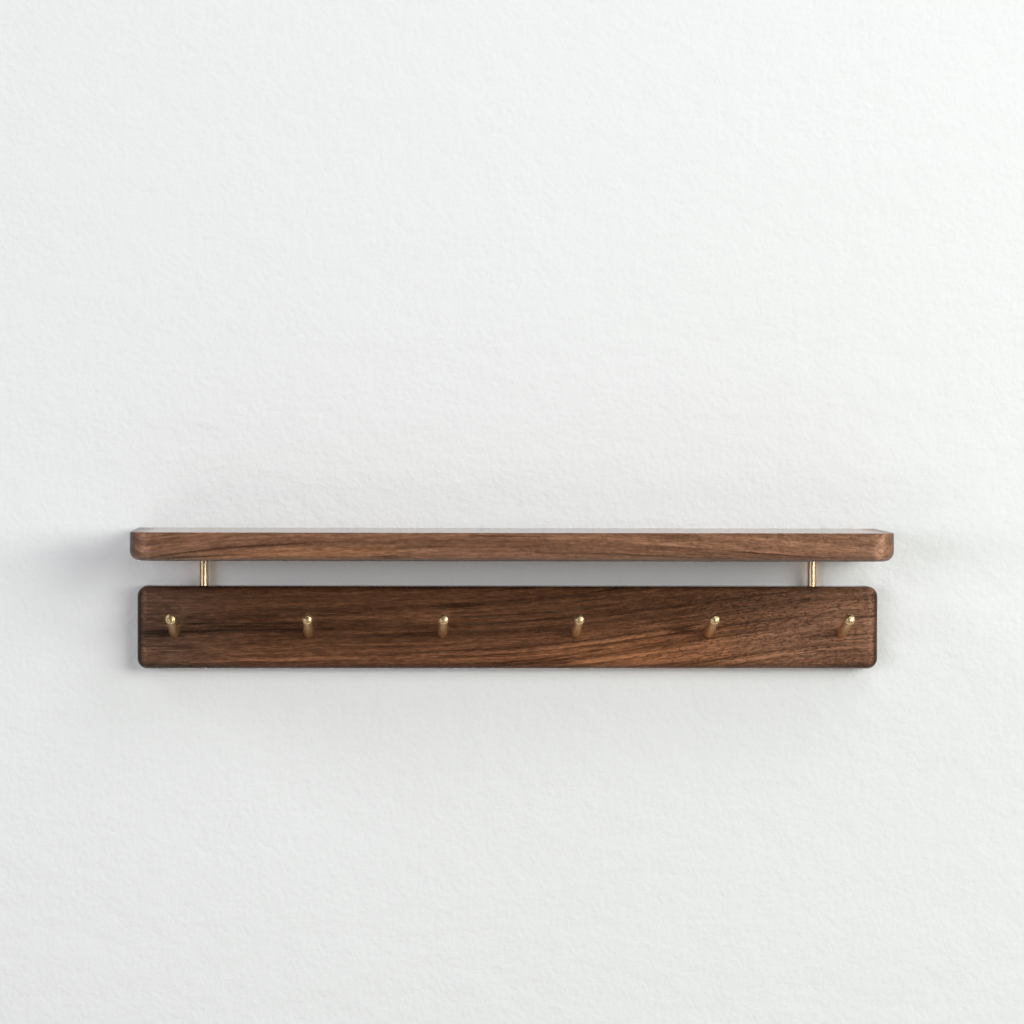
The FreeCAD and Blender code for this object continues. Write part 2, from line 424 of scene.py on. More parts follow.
shelf_seam = (-0.29, -0.16, 0.0728, 0.0012, 0.02)
shelf_pale_band = (-0.25, -0.09, 0.0655)
shelf_lines = [
    (0.05, 0.13, 0.0650, 0.0010, 0.03, -0.18),
    (-0.12, 0.03, 0.0690, 0.0009, 0.03, -0.14),
    (*shelf_pale_band, 0.0055, 0.03, 0.06),
    (0.10, 0.25, 0.0740, 0.0030, 0.03, 0.06),
]
rail_lines = [
    (-0.28, -0.02, 0.0235, 0.0060, 0.03, 0.14),
    (-0.22, 0.17, -0.0188, 0.0024, 0.04, 0.25),
    (-0.06, 0.14, -0.0156, 0.0013, 0.03, -0.24),
    (0.03, 0.22, -0.0290, 0.0015, 0.04, -0.24),
    (0.06, 0.26, -0.0345, 0.0028, 0.04, 0.18),
    (0.17, 0.28, -0.0530, 0.0026, 0.03, 0.20),
    (0.15, 0.28, -0.0490, 0.0016, 0.03, -0.20),
    (0.06, 0.24, 0.0030, 0.0013, 0.03, -0.20),
    (0.10, 0.24, -0.0080, 0.0012, 0.03, -0.16),
]


def shelf_shape(tree, x, across, z):
    """The shelf is lightest at its right end, partly from painted light from the right. It has a
    ragged dark seam that climbs from its left end over a paler band, painted shade on its ends and
    lower round, and a speckled painted highlight just inside each end, brightest at the right."""
    half = shelf_high[0]
    underside = shelf_low[2]
    left = 1 - x.between(-0.2, 0.2)
    teeth = noise(tree, vector(tree, x * 260, 0.7, z * 260), 1.0, 2.0, 0.6)
    ragged = across + (teeth - 0.5) * 0.0022
    # Lighter towards the right: partly the wood's own tone, partly painted light from the right.
    tone = x.between(-0.05, 0.33) * 0.08 + grain_lines(x, across, shelf_lines)
    tone = tone - stroke(x, ragged, *shelf_seam) * 0.34
    # Painted highlight on the rounds just inside each end, speckled by the grain, with a brighter one
    # at the right end, which faces the light.
    tone = tone + x.size().hump(half - 0.012, 0.008) * teeth.between(0.3, 0.7) * 0.22
    tone = tone + x.hump(half - 0.013, 0.009) * 0.08
    # Painted shade on the rounded ends, which turn away from the light; it is strongest at the left
    # end.
    tone = tone - board_ends(x, half, 0.006) * (left * 0.6 + 0.4) * 0.34
    # Painted shade on the lower round, which faces down, away from the light.
    tone = tone - (1 - z.between(underside + 0.0004, underside + 0.0026)) * 0.30
    return {
        "tone": tone,
        "warm": stroke(x, across, *shelf_pale_band, 0.0060),
        "grey": x.between(0.20, 0.32) * 0.35 + (1 - x.between(-0.31, -0.25)) * 0.45,
        "streaks": 1 - x.between(0.18, 0.30) * 0.4,
        "specks": x.between(-0.1, 0.3) * 0.5 + 0.5,
        "dashes": z.hump(0.071, 0.012) * 0.10,
    }


def rail_shape(tree, x, across, z):
    """The rail has a black-dashed band over its left pegs, and a light seam low down that
    climbs to the right, with richer wood below it and speckled wood at the right end. Its tone
    is partly painted light and shade: lighter to the right and darker high up under the shelf.
    Its edges carry painted shade, with a painted highlight line, ticked like end grain, just
    inside each end."""
    half = rail_high[0]
    middle_part = x.between(-0.12, 0.04)
    left_end = 1 - x.between(-0.30, -0.18)
    dark_band = across.hump(0.008, 0.015) * (1 - x.between(-0.17, -0.06))
    below_seam = 1 - across.between(-0.0215, -0.0170)

    # Broad light and dark parts, from left to right. These are the wood's own tone, partly with
    # painted light and shade: lighter towards the right, where the light comes from, and darker high
    # up, under the shelf.
    tone = grain_lines(x, across, rail_lines) - dark_band * 0.12 + below_seam * middle_part * 0.12
    tone = tone + left_end * (z.between(-0.016, 0.006) * 0.16 - 0.07)
    tone = tone + (1 - z.between(-0.030, -0.006)) * 0.06
    # Partly painted shade: darker high up, under the shelf.
    tone = tone - z.between(0.004, 0.018) * (1 - x.between(0.10, 0.22)) * 0.10
    tone = tone + x.between(-0.02, 0.10) * (1 - z.between(-0.025, 0.02) * 0.5) * 0.14
    tone = tone + x.between(0.14, 0.30) * (z.between(-0.03, 0.01) * 0.12 + 0.02)
    tone = tone - x.between(0.235, 0.280) * (1 - z.between(-0.022, -0.006)) * 0.12

    # The edges: painted shade on the top and bottom rounds and on the ends, and a painted highlight
    # line, ticked like end grain, just inside each end.
    ticks = noise(tree, vector(tree, x * 150, 0.4, z * 420 + x * 300), 1.0, 1.0)
    # Painted shade on the bottom round, which faces down, and on the top round, which lies under the
    # shelf.
    tone = tone - (1 - z.between(-0.0320, -0.0262)) * 0.25 - z.between(0.0308, 0.0330) * 0.16
    # Painted highlight just inside each end, where the rounds catch the light.
    tone = tone + x.size().hump(half - 0.0064, 0.0022) * ticks.between(0.36, 0.64) * 0.20
    # Painted shade on the rounded ends, which turn away from the light.
    tone = tone - board_ends(x, half, 0.0048) * 0.50
    return {
        "tone": tone,
        "warm": below_seam * middle_part * (1 - x.between(0.10, 0.22)) * 0.5,
        "grey": x.between(0.13, 0.25) * 0.6 + (1 - x.between(-0.29, -0.19)),
        "streaks": 1 - x.between(0.06, 0.22) * 0.5 - (1 - x.between(-0.22, -0.05)) * 0.2,
        "specks": x.between(0.0, 0.20) * 0.75 + 0.25,
        "dashes": dark_band * 0.36 + x.between(0.0, 0.1) * z.between(0.0, 0.02) * 0.10,
    }


def tone_stops(central, spread):
    """Five even stops from dark to light about a central colour, each a fixed ratio on."""
    stops = []
    for place, power in ((0.0, -2), (0.25, -1), (0.5, 0), (0.75, 1), (1.0, 2)):
        stops.append((place, tuple(c * s ** power for c, s in zip(central, spread))))
    return stops


shelf_lie = {
    "slope": 0.14, "bends": [(-0.215, -0.12, 0.03), (0.03, -0.07, 0.10), (0.15, -0.06, 0.05)],
    "fan": 0.0, "fan_level": 1.0, "pith_y": 0.05, "pith_z": -0.06, "drift": 0.003, "wobble": 0.0011,
}
shelf_look = {
    "bands": 0.34, "sweeps": 0.24, "streaks": 0.14, "fine": 0.11, "fibres": 0.17,
    "lines": 0.30, "line_width": 0.030, "pores": 0.18, "bump": 0.35, "roughness": 0.25,
    "gloss": 0.5, "top": shelf_high[2], "end": shelf_high[0],
    "stops": tone_stops((0.189, 0.0900, 0.0505), (1.9, 2.0, 2.05)),
    "warm": (1.10, 1.0, 0.85), "grey": (0.95, 1.08, 1.25),
}
rail_lie = {
    "slope": 0.02, "bends": [(0.03, 0.15, 0.07), (0.255, -0.12, 0.03)],
    "fan": 4.0, "fan_level": 0.96, "pith_y": 0.10, "pith_z": -0.20, "drift": 0.003, "wobble": 0.0011,
}
rail_look = {
    "bands": 0.52, "sweeps": 0.34, "streaks": 0.17, "fine": 0.15, "fibres": 0.24,
    "lines": 0.32, "line_width": 0.032, "pores": 0.30, "bump": 0.35, "roughness": 0.25,
    "gloss": 0.5, "top": rail_high[2], "end": rail_high[0],
    "stops": tone_stops((0.110, 0.0455, 0.0213), (1.95, 2.0, 2.05)),
    "warm": (1.12, 1.0, 0.85), "grey": (0.92, 1.12, 1.45),
}


def brass(name, colour, roughness, turned):
    """Brass with fine tool marks: round the peg where turned, along the rod where drawn."""
    material, tree = new_material(name)
    place, x, y, z = object_place(tree)
    marks = noise(tree, vector(tree, x * 1400, y * 1400, z * 3), 1.0, 2.0, 0.6)
    patches = noise(tree, vector(tree, x * 170, y * 170, z * 18), 1.0, 2.0, 0.6)
    depth = 0.03
    if turned:
        along = z * math.sin(peg_tilt) - y * math.cos(peg_tilt)
        marks = noise(tree, vector(tree, x * 200, along * 2600, y * 200), 1.0, 2.0, 0.6)
        patches = noise(tree, place, 170.0, 3.0, 0.6)
        depth = 0.25
    tarnish = noise(tree, place, 800.0, 2.0, 0.6)
    darker = tuple(c * 0.74 for c in colour)
    tarnished = (0.30, 0.19, 0.09)
    tint = blend_colours(tree, patches.between(0.35, 0.75) * 0.35, colour, darker)
    tint = blend_colours(tree, tarnish.between(0.60, 0.80) * 0.2, tint, tarnished)
    bump = tree.add("ShaderNodeBump", None, {
        "Height": marks,
        "Strength": depth,
        "Distance": 0.00004,
    })["Normal"]
    shader = tree.add("ShaderNodeBsdfPrincipled", None, {
        "Base Color": tint,
        "Metallic": 1.0,
        "Roughness": (patches - 0.5) * 0.10 + (marks - 0.5) * 0.08 + roughness,
        "Normal": bump,
    })["BSDF"]
    finish_material(tree, shader)
    return material


def plated_steel(name, colour, roughness):
    """Zinc-plated steel: faint spangle and rubbed patches."""
    material, tree = new_material(name)
    place, x, y, z = object_place(tree)
    spangle = tree.add("ShaderNodeTexVoronoi", {"feature": "F1"},
                       {"Vector": place, "Scale": 900.0})["Color"]
    spangle = tree.add("ShaderNodeSeparateColor", None, {"Color": spangle})["Red"]
    rubbed = noise(tree, place, 160.0, 3.0, 0.6)
    marks = noise(tree, vector(tree, x * 4000, y * 4000, z * 200), 1.0, 2.0)
    tint = blend_colours(tree, spangle * 0.25, colour, tuple(c * 0.78 for c in colour))
    tint = blend_colours(tree, rubbed.between(0.55, 0.8) * 0.4, tint,
                         tuple(c * 0.6 for c in colour))
    bump = tree.add("ShaderNodeBump", None, {
        "Height": marks,
        "Strength": 0.15,
        "Distance": 0.00004,
    })["Normal"]
    shader = tree.add("ShaderNodeBsdfPrincipled", None, {
        "Base Color": tint,
        "Metallic": 1.0,
        "Roughness": (rubbed - 0.5) * 0.25 + roughness,
        "Normal": bump,
    })["BSDF"]
    finish_material(tree, shader)
    return material


def plaster(name, colour, one_sided):
    """Matt paint for the backdrop; a one-sided sheet can't be seen from behind."""
    material, tree = new_material(name)
    place, x, y, z = object_place(tree)
    grit = noise(tree, place, 210.0, 3.0, 0.6)
    lumps = noise(tree, place, 62.0, 2.0, 0.5)
    trowel = noise(tree, vector(tree, x * 9, y * 9, z * 14), 1.0, 3.0, 0.55, 0.4)
    bump = tree.add("ShaderNodeBump", None, {
        "Height": grit * 0.55 + lumps * 0.9 + trowel * 1.6,
        "Strength": 0.7,
        "Distance": 0.0019,
    })["Normal"]
    shader = tree.add("ShaderNodeBsdfPrincipled", None, {
        "Base Color": (*colour, 1),
        "Roughness": 0.9,
        "Specular IOR Level": 0.2,
        "Normal": bump,
    })["BSDF"]
    if one_sided:
        behind = tree.add("ShaderNodeNewGeometry")["Backfacing"]
        clear = tree.add("ShaderNodeBsdfTransparent")["BSDF"]
        shader = tree.add("ShaderNodeMixShader", None, {0: behind, 1: shader, 2: clear})["Shader"]
    finish_material(tree, shader)
    return material


# ---- meshes --------------------------------------------------------------------------

def show(name, mesh, material=None, smooth=30):
    """A finished mesh as an object at the origin, smooth except at edges sharper than given."""
    piece = bpy.data.objects.new(name, mesh)
    bpy.context.scene.collection.objects.link(piece)
    if material:
        mesh.materials.clear()
        mesh.materials.append(material)
    mesh.shade_smooth()
    mesh.set_sharp_from_angle(angle=math.radians(smooth))
    return piece


def mesh_from(name, form):
    bmesh.ops.recalc_face_normals(form, faces=form.faces)
    mesh = bpy.data.meshes.new(name)
    form.to_mesh(mesh)
    form.free()
    return mesh


def arc(centre, radius, start, end, steps):
    """Points on an arc between two angles in degrees, both ends included."""
    points = []
    for i in range(steps + 1):
        angle = math.radians(start + (end - start) * i / steps)
        points.append((centre[0] + radius * math.cos(angle), centre[1] + radius * math.sin(angle)))
    return points


def round_over(radius, depth, steps):
    """(inset, height) pairs of a quarter round that ends flat at the given depth."""
    pairs = []
    for i in range(steps + 1):
        angle = math.pi / 2 * i / steps
        pairs.append((radius * (1 - math.cos(angle)), depth - radius * (1 - math.sin(angle))))
    return pairs


def stacked(rings):
    """A closed solid through rings of equally many 3-D points."""
    form = bmesh.new()
    layers = [[form.verts.new(point) for point in ring] for ring in rings]
    for lower, upper in zip(layers, layers[1:]):
        for i in range(len(lower)):
            j = (i + 1) % len(lower)
            form.faces.new((lower[i], lower[j], upper[j], upper[i]))
    form.faces.new(list(reversed(layers[0])))
    form.faces.new(layers[-1])
    return form


def lathe(profile, steps=round_steps):
    """A solid turned about Z from (radius, height) points; the first and last lie on the axis."""
    form = bmesh.new()
    rings = []
    for radius, height in profile:
        if radius == 0:
            rings.append([form.verts.new((0, 0, height))])
            continue
        ring = []
        for i in range(steps):
            angle = 2 * math.pi * i / steps
            ring.append(form.verts.new((radius * math.cos(angle), radius * math.sin(angle), height)))
        rings.append(ring)
    for low, high in zip(rings, rings[1:]):
        for i in range(steps):
            j = (i + 1) % steps
            corners = [low[i % len(low)], low[j % len(low)], high[j % len(high)], high[i % len(high)]]
            form.faces.new(list(dict.fromkeys(corners)))
    return form


def upright_slot(radius, low, high, y_start, y_end, x):
    """A round-ended bar that stands in the wall's plane, from one depth to another."""
    outline = arc((x, high), radius, 0, 180, corner_steps)
    outline += arc((x, low), radius, 180, 360, corner_steps)
    return stacked([[(a, y, b) for a, b in outline] for y in (y_start, y_end)])


def turned_to(form, direction, place):
    """Move a form made along Z so that Z points in a direction, from a place."""
    turn = Vector(direction).to_track_quat("Z", "X").to_matrix().to_4x4()
    bmesh.ops.transform(form, matrix=Matrix.Translation(place) @ turn, verts=form.verts)
    return form


def cut(name, mesh, cutters):
    """The mesh with each cutter's space taken out of it."""
    blank = bpy.data.objects.new(name, mesh)
    bpy.context.scene.collection.objects.link(blank)
    tools = []
    for number, form in enumerate(cutters):
        tool = bpy.data.objects.new("cutter", mesh_from("cutter", form))
        bpy.context.scene.collection.objects.link(tool)
        tools.append(tool)
        step = blank.modifiers.new("cut_" + str(number), "BOOLEAN")
        step.operation = "DIFFERENCE"
        step.solver = "EXACT"
        step.object = tool
    bpy.context.view_layer.update()
    scene_graph = bpy.context.evaluated_depsgraph_get()
    result = bpy.data.meshes.new_from_object(blank.evaluated_get(scene_graph))
    for item in [blank, *tools]:
        bpy.data.objects.remove(item)
    return result


# ---- rows made by Geometry Nodes ---------------------------------------------------------

def row_tree(material):
    """A node group that repeats its input mesh along a line, and that line upwards."""
    group = bpy.data.node_groups.new("row_of_pieces", "GeometryNodeTree")
    sockets = [
        ("Geometry", "NodeSocketGeometry"),
        ("Count", "NodeSocketInt"),
        ("First Place", "NodeSocketVector"),
        ("Step", "NodeSocketVector"),
        ("Rows", "NodeSocketInt"),
        ("Rise", "NodeSocketVector"),
        ("Turn", "NodeSocketVector"),
        ("Random Spin", "NodeSocketFloat"),
        ("Seed", "NodeSocketInt"),
    ]
    for name, kind in sockets:
        group.interface.new_socket(name, in_out="INPUT", socket_type=kind)
    group.interface.new_socket("Geometry", in_out="OUTPUT", socket_type="NodeSocketGeometry")
    tree = Tree(group)
    given = tree.add("NodeGroupInput")
    across = tree.add("GeometryNodeMeshLine", {"mode": "OFFSET"}, {
        "Count": given["Count"],
        "Start Location": given["First Place"],
        "Offset": given["Step"],
    })["Mesh"]
    upward = tree.add("GeometryNodeMeshLine", {"mode": "OFFSET"}, {
        "Count": given["Rows"],
        "Offset": given["Rise"],
    })["Mesh"]
    columns = tree.add("GeometryNodeInstanceOnPoints", None, {
        "Points": across,
        "Instance": upward,
    })["Instances"]
    places = tree.add("GeometryNodeRealizeInstances", None, {"Geometry": columns})["Geometry"]
    standing = tree.add("FunctionNodeEulerToRotation", None, {"Euler": given["Turn"]})["Rotation"]
    pieces = tree.add("GeometryNodeInstanceOnPoints", None, {
        "Points": places,
        "Instance": given["Geometry"],
        "Rotation": standing,
    })["Instances"]
    chance = tree.add("FunctionNodeRandomValue", {"data_type": "FLOAT"}, {
        3: given["Random Spin"],
        "Seed": given["Seed"],
    })
    spin = vector(tree, 0, 0, Value(tree, chance.node.outputs[1]))
    spin = tree.add("FunctionNodeEulerToRotation", None, {"Euler": spin})["Rotation"]
    pieces = tree.add("GeometryNodeRotateInstances", None, {
        "Instances": pieces,
        "Rotation": spin,
    })["Instances"]
    real = tree.add("GeometryNodeRealizeInstances", None, {"Geometry": pieces})["Geometry"]
    coated = tree.add("GeometryNodeSetMaterial", None, {
        "Geometry": real,
        "Material": material,
    })["Geometry"]
    tree.add("NodeGroupOutput", None, {"Geometry": coated})
    return group


def row_of(name, mesh, material, sizes, smooth=30):
    """The mesh repeated by row_tree, as one plain object."""
    single = bpy.data.objects.new(name, mesh)
    bpy.context.scene.collection.objects.link(single)
    modifier = single.modifiers.new("row", "NODES")
    modifier.node_group = row_tree(material)
    settings = {"Count": 1, "Rows": 1, "Rise": (0, 0, 0), "Turn": (0, 0, 0),
                "Random Spin": 0.0, "Seed": 4, "Step": (0, 0, 0), **sizes}
    for item in modifier.node_group.interface.items_tree:
        if item.in_out == "INPUT" and item.name in settings:
            given = settings[item.name]
            modifier[item.identifier] = tuple(given) if isinstance(given, Vector) else given
    single.update_tag()
    bpy.context.view_layer.update()
    scene_graph = bpy.context.evaluated_depsgraph_get()
    result = bpy.data.meshes.new_from_object(single.evaluated_get(scene_graph))
    result.name = name
    bpy.data.objects.remove(single)
    return show(name, result, None, smooth)


def settle(piece, slot, *nodes):
    """Ride on the one body and stand for the CAD nodes, which it hides; the slot is not used."""
    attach(piece, "root")
    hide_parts(*nodes)


# ---- the boards ----------------------------------------------------------------------

def rounded_side(low, high, low_round, high_round, low_steps, high_steps):
    """(inset, height) pairs up the side of a board with a quarter round at each face."""
    below = round_over(low_round, high, low_steps)
    pairs = [(low_round + flat_margin, low)]
    pairs += [(inset, low + high - height) for inset, height in reversed(below)]
    pairs += [(0, low + low_round + flat_margin), (0, high - high_round - flat_margin)]
    return pairs + round_over(high_round, high, high_steps) + [(high_round + flat_margin, high)]


def post_hole(x, low, high):
    """The space of a post and the glue round it, from one height to another."""
    radius = post_width / 2 + post_gap
    form = lathe([(0, low), (radius, low), (radius, high), (0, high)])
    bmesh.ops.translate(form, vec=(x, post_place.y, 0), verts=form.verts)
    return form


def shelf_ring(inset, height):
    """The shelf's outline seen from above, pulled in at the front and the ends."""
    left, right = shelf_low[0], shelf_high[0]
    front = shelf_low[1] + shelf_corner_radius
    radius = shelf_corner_radius - inset
    outline = [(left + inset, 0), (left + inset, -flat_margin)]
    outline += arc((left + shelf_corner_radius, front), radius, 180, 270, corner_steps)
    outline += arc((right - shelf_corner_radius, front), radius, 270, 360, corner_steps)
    outline += [(right - inset, -flat_margin), (right - inset, 0)]
    return [(x, y, height) for x, y in outline]


def make_shelf(material):
    low, high = shelf_low[2], shelf_high[2]
    side = rounded_side(low, high, shelf_round_over, shelf_top_ease, arc_steps, ease_steps)
    blank = mesh_from("shelf", stacked([shelf_ring(inset, height) for inset, height in side]))
    holes = [post_hole(x, low - cut_past, post_high[2]) for x in (post_place.x, -post_place.x)]
    return show("shelf_board_walnut", cut("shelf", blank, holes), material)


def rail_ring(inset, y):
    """The rail's outline seen from the front."""
    radius = rail_corner_radius - inset
    reach_x = rail_high[0] - rail_corner_radius
    reach_z = rail_high[2] - rail_corner_radius
    outline = []
    for x, z, start in ((reach_x, reach_z, 0), (-reach_x, reach_z, 90),
                        (-reach_x, -reach_z, 180), (reach_x, -reach_z, 270)):
        outline += arc((x, z), radius, start, start + 90, corner_steps)
    return [(x, y, z) for x, z in outline]


def peg_bore(x):
    """The stepped hole for a peg and the screw behind it."""
    pocket_floor = -peg_seat_depth - peg_web
    seat_radius = peg_base_radius + peg_gap
    shank_radius = peg_screw_radius + peg_screw_shank_gap
    profile = [
        (0, -peg_path - cut_past),
        (peg_screw_pocket_radius, -peg_path - cut_past),
        (peg_screw_pocket_radius, pocket_floor),
        (shank_radius, pocket_floor),
        (shank_radius, -peg_seat_depth),
        (seat_radius, -peg_seat_depth),
        (seat_radius, cut_past),
        (0, cut_past),
    ]
    return turned_to(lathe(profile, small_round_steps), peg_axis, (x, rail_front, peg_z))


def hanger_seat(x):
    """The recess for a keyhole plate, and the deeper pocket for the wall screw's head."""
    end_radius = hanger_width / 2
    reach = (hanger_high[2] - hanger_low[2]) / 2 - end_radius
    seat_y = hanger_back - hanger_thickness
    middle_z = hanger_place.z
    entry_z = middle_z - keyhole_entry_drop
    recess = upright_slot(end_radius + hanger_fit_gap, middle_z - reach, middle_z + reach,
                          cut_past, seat_y, x)
    pocket = upright_slot(head_pocket_radius, entry_z, entry_z + keyhole_slot_rise,
                          cut_past / 2, seat_y - head_pocket_depth, x)
    return [recess, pocket]


def make_rail(material):
    side = rounded_side(0, rail_thickness, back_ease, rail_round_over, back_ease_steps, arc_steps)
    blank = mesh_from("rail", stacked([rail_ring(inset, -height) for inset, height in side]))
    cutters = [peg_bore(peg_first_x + i * peg_step) for i in range(peg_count)]
    for end in (1, -1):
        cutters.append(post_hole(end * post_place.x, post_low[2], rail_top + cut_past))
        cutters += hanger_seat(end * hanger_place.x)
    return show("back_rail_walnut", cut("rail", blank, cutters), material)


# ---- brass ---------------------------------------------------------------------------

def post_profile():
    length = post_high[2] - post_low[2]
    radius = post_width / 2
    edge = radius - post_chamfer
    return [
        (0, 0),
        (edge, 0),
        (radius, post_chamfer),
        (radius, post_chamfer + flat_margin),
        (radius, length - post_chamfer - flat_margin),
        (radius, length - post_chamfer),
        (edge, length),
        (0, length),
    ]


def peg_profile():
    """Plain seat, tapered shank, soft neck and a round-edged bead, as (radius, height)."""
    plain_end = peg_base_radius * math.tan(peg_tilt)
    neck_end = peg_reach - peg_head_length
    cove = peg_head_radius - peg_neck_radius
    points = [(0, -peg_seat_depth), (peg_base_radius, -peg_seat_depth),
              (peg_base_radius, plain_end)]
    for i in range(1, peg_shank_steps + 1):
        share = i / peg_shank_steps
        radius = peg_base_radius + (peg_neck_radius - peg_base_radius) * share
        points.append((radius, plain_end + (neck_end - plain_end) * share))
    for i in range(1, peg_neck_steps + 1):
        share = i / peg_neck_steps
        swell = (1 - math.cos(math.pi * share)) / 2
        points.append((peg_neck_radius + cove * swell, neck_end + peg_neck_stretch * cove * share))
    shoulder = peg_reach - peg_tip_rise - peg_tip_radius
    points.append((peg_head_radius, shoulder))
    for i in range(1, tip_steps):
        angle = math.pi / 2 * i / tip_steps
        points.append((peg_head_radius * math.cos(angle) ** tip_squareness,
                       shoulder + (peg_reach - shoulder) * math.sin(angle) ** tip_squareness))
    points.append((0, peg_reach))
    return points


# ---- steel ---------------------------------------------------------------------------

def peg_screw_mesh():
    """A cheese-head screw along Z, its head's seat at z = 0 and the socket facing -Z."""
    head, ease = peg_screw_head_radius, peg_screw_ease
    tall = peg_screw_head_height
    shank = peg_screw_shank
    profile = [
        (0, -tall),
        (head - ease, -tall),
        (head, -tall + ease),
        (head, -peg_screw_seat_strip),
        (head, 0),
        (peg_screw_radius, 0),
        (peg_screw_radius, shank - peg_screw_point),
        (peg_screw_radius - peg_screw_point, shank),
        (0, shank),
    ]
    body = mesh_from("peg_screw", lathe(profile, small_round_steps))
    reach = peg_screw_socket / math.sqrt(3)
    rings = []
    for height in (-tall - small_cut_past, -tall + peg_screw_socket_depth):
        corners = [math.pi / 3 * i for i in range(6)]
        rings.append([(reach * math.cos(a), reach * math.sin(a), height) for a in corners])
    return cut("peg_screw", body, [stacked(rings)])


def hanger_mesh():
    """One keyhole plate standing in the wall plane, centred on its own middle."""
    seat = hanger_width / 2
    reach = (hanger_high[2] - hanger_low[2]) / 2 - seat
    plate = mesh_from("hanger", upright_slot(seat, -reach, reach, 0, -hanger_thickness, 0))
    slot_end = keyhole_slot_rise - keyhole_entry_drop
    start, end = -plate_cut_past, hanger_thickness + plate_cut_past
    entry = lathe([(0, start), (keyhole_entry_radius, start), (keyhole_entry_radius, end), (0, end)],
                  keyhole_round_steps)
    cutters = [
        upright_slot(keyhole_slot_radius, -keyhole_entry_drop, slot_end, -start, -end, 0),
        turned_to(entry, (0, -1, 0), (0, 0, -keyhole_entry_drop)),
    ]
    neck = wood_screw_radius + wood_screw_gap
    sink = wood_screw_head_radius - neck
    for z in (screw_rise / 2, -screw_rise / 2):
        sunk_hole = lathe([(0, start), (wood_screw_head_radius + plate_cut_past, start),
                           (neck, sink), (neck, end), (0, end)], small_round_steps)
        cutters.append(turned_to(sunk_hole, (0, -1, 0), (0, 0, z)))
    return cut("hanger", plate, cutters)


def wood_screw_mesh():
    """A slotted countersunk screw along Z, its flat head at z = 0."""
    head, shank = wood_screw_head_radius, wood_screw_radius
    profile = [
        (0, 0),
        (head - wood_screw_ease, 0),
        (head, wood_screw_ease / 2),
        (shank, head - shank),
        (shank, wood_screw_length - wood_screw_point),
        (0, wood_screw_length),
    ]
    body = mesh_from("wood_screw", lathe(profile, small_round_steps))
    half = wood_screw_slot_width / 2
    long = wood_screw_head_radius * 2
    rings = []
    for height in (-small_cut_past, wood_screw_slot_depth):
        rings.append([(-long, -half, height), (long, -half, height),
                      (long, half, height), (-long, half, height)])
    return cut("wood_screw", body, [stacked(rings)])


# ---- make the object -------------------------------------------------------------------

shelf_walnut = walnut("shelf_walnut", shelf_lie, shelf_look, shelf_shape)
rail_walnut = walnut("rail_walnut", rail_lie, rail_look, rail_shape)
drawn_brass = brass("drawn_brass", (0.90, 0.67, 0.44), 0.27, False)
turned_brass = brass("turned_brass", (0.88, 0.62, 0.33), 0.33, True)
hanger_steel = plated_steel("hanger_steel", (0.60, 0.60, 0.58), 0.36)
screw_steel = plated_steel("screw_steel", (0.52, 0.52, 0.50), 0.32)

shelf = make_shelf(shelf_walnut)
rail = make_rail(rail_walnut)
settle(shelf, "shelf_walnut", "shelf_board")
settle(rail, "rail_walnut", "back_rail")

post = mesh_from("post", lathe(post_profile(), post_round_steps))
posts = row_of("brass_posts", post, drawn_brass, {
    "Count": 2,
    "First Place": (post_place.x, post_place.y, post_low[2]),
    "Step": (-2 * post_place.x, 0, 0),
})
settle(posts, "post_brass", "post_left", "post_right")

peg_turn = (math.pi / 2 - peg_tilt, 0, 0)
peg = mesh_from("peg", lathe(peg_profile()))
pegs = row_of("brass_pegs", peg, turned_brass, {
    "Count": peg_count,
    "First Place": (peg_first_x, rail_front, peg_z),
    "Step": (peg_step, 0, 0),
    "Turn": peg_turn,
}, smooth=50)
settle(pegs, "peg_brass", *["peg_" + str(i + 1) for i in range(peg_count)])

screw_seat = Vector((peg_first_x, rail_front, peg_z)) - peg_axis * (peg_seat_depth + peg_web)
peg_screws = row_of("peg_screws", peg_screw_mesh(), screw_steel, {
    "Count": peg_count,
    "First Place": screw_seat,
    "Step": (peg_step, 0, 0),
    "Turn": peg_turn,
    "Random Spin": math.pi,
})
settle(peg_screws, "screw_steel", *["peg_screw_" + str(i + 1) for i in range(peg_count)])

hangers = row_of("keyhole_hangers", hanger_mesh(), hanger_steel, {
    "Count": 2,
    "First Place": (hanger_place.x, hanger_back, hanger_place.z),
    "Step": (-2 * hanger_place.x, 0, 0),
})
settle(hangers, "hanger_steel", "keyhole_hanger_left", "keyhole_hanger_right")

hanger_screws = row_of("hanger_screws", wood_screw_mesh(), screw_steel, {
    "Count": 2,
    "First Place": (hanger_place.x, hanger_back, hanger_place.z - screw_rise / 2),
    "Step": (-2 * hanger_place.x, 0, 0),
    "Rows": 2,
    "Rise": (0, 0, screw_rise),
    "Turn": (math.pi / 2, 0, 0),
    "Random Spin": math.pi,
    "Seed": 9,
})
settle(hanger_screws, "screw_steel", *[
    "hanger_screw_" + side + "_" + place
    for side in ("left", "right")
    for place in ("upper", "lower")
])


# ---- wall, floor, light and camera --------------------------------------------------------

def sheet(name, corners, material):
    """A flat sheet of the backdrop, facing the side from which its corners run anticlockwise."""
    form = bmesh.new()
    form.faces.new([form.verts.new(corner) for corner in corners])
    mesh = bpy.data.meshes.new(name)
    form.to_mesh(mesh)
    form.free()
    mesh.materials.append(material)
    piece = bpy.data.objects.new(name, mesh)
    bpy.context.scene.collection.objects.link(piece)
    return piece


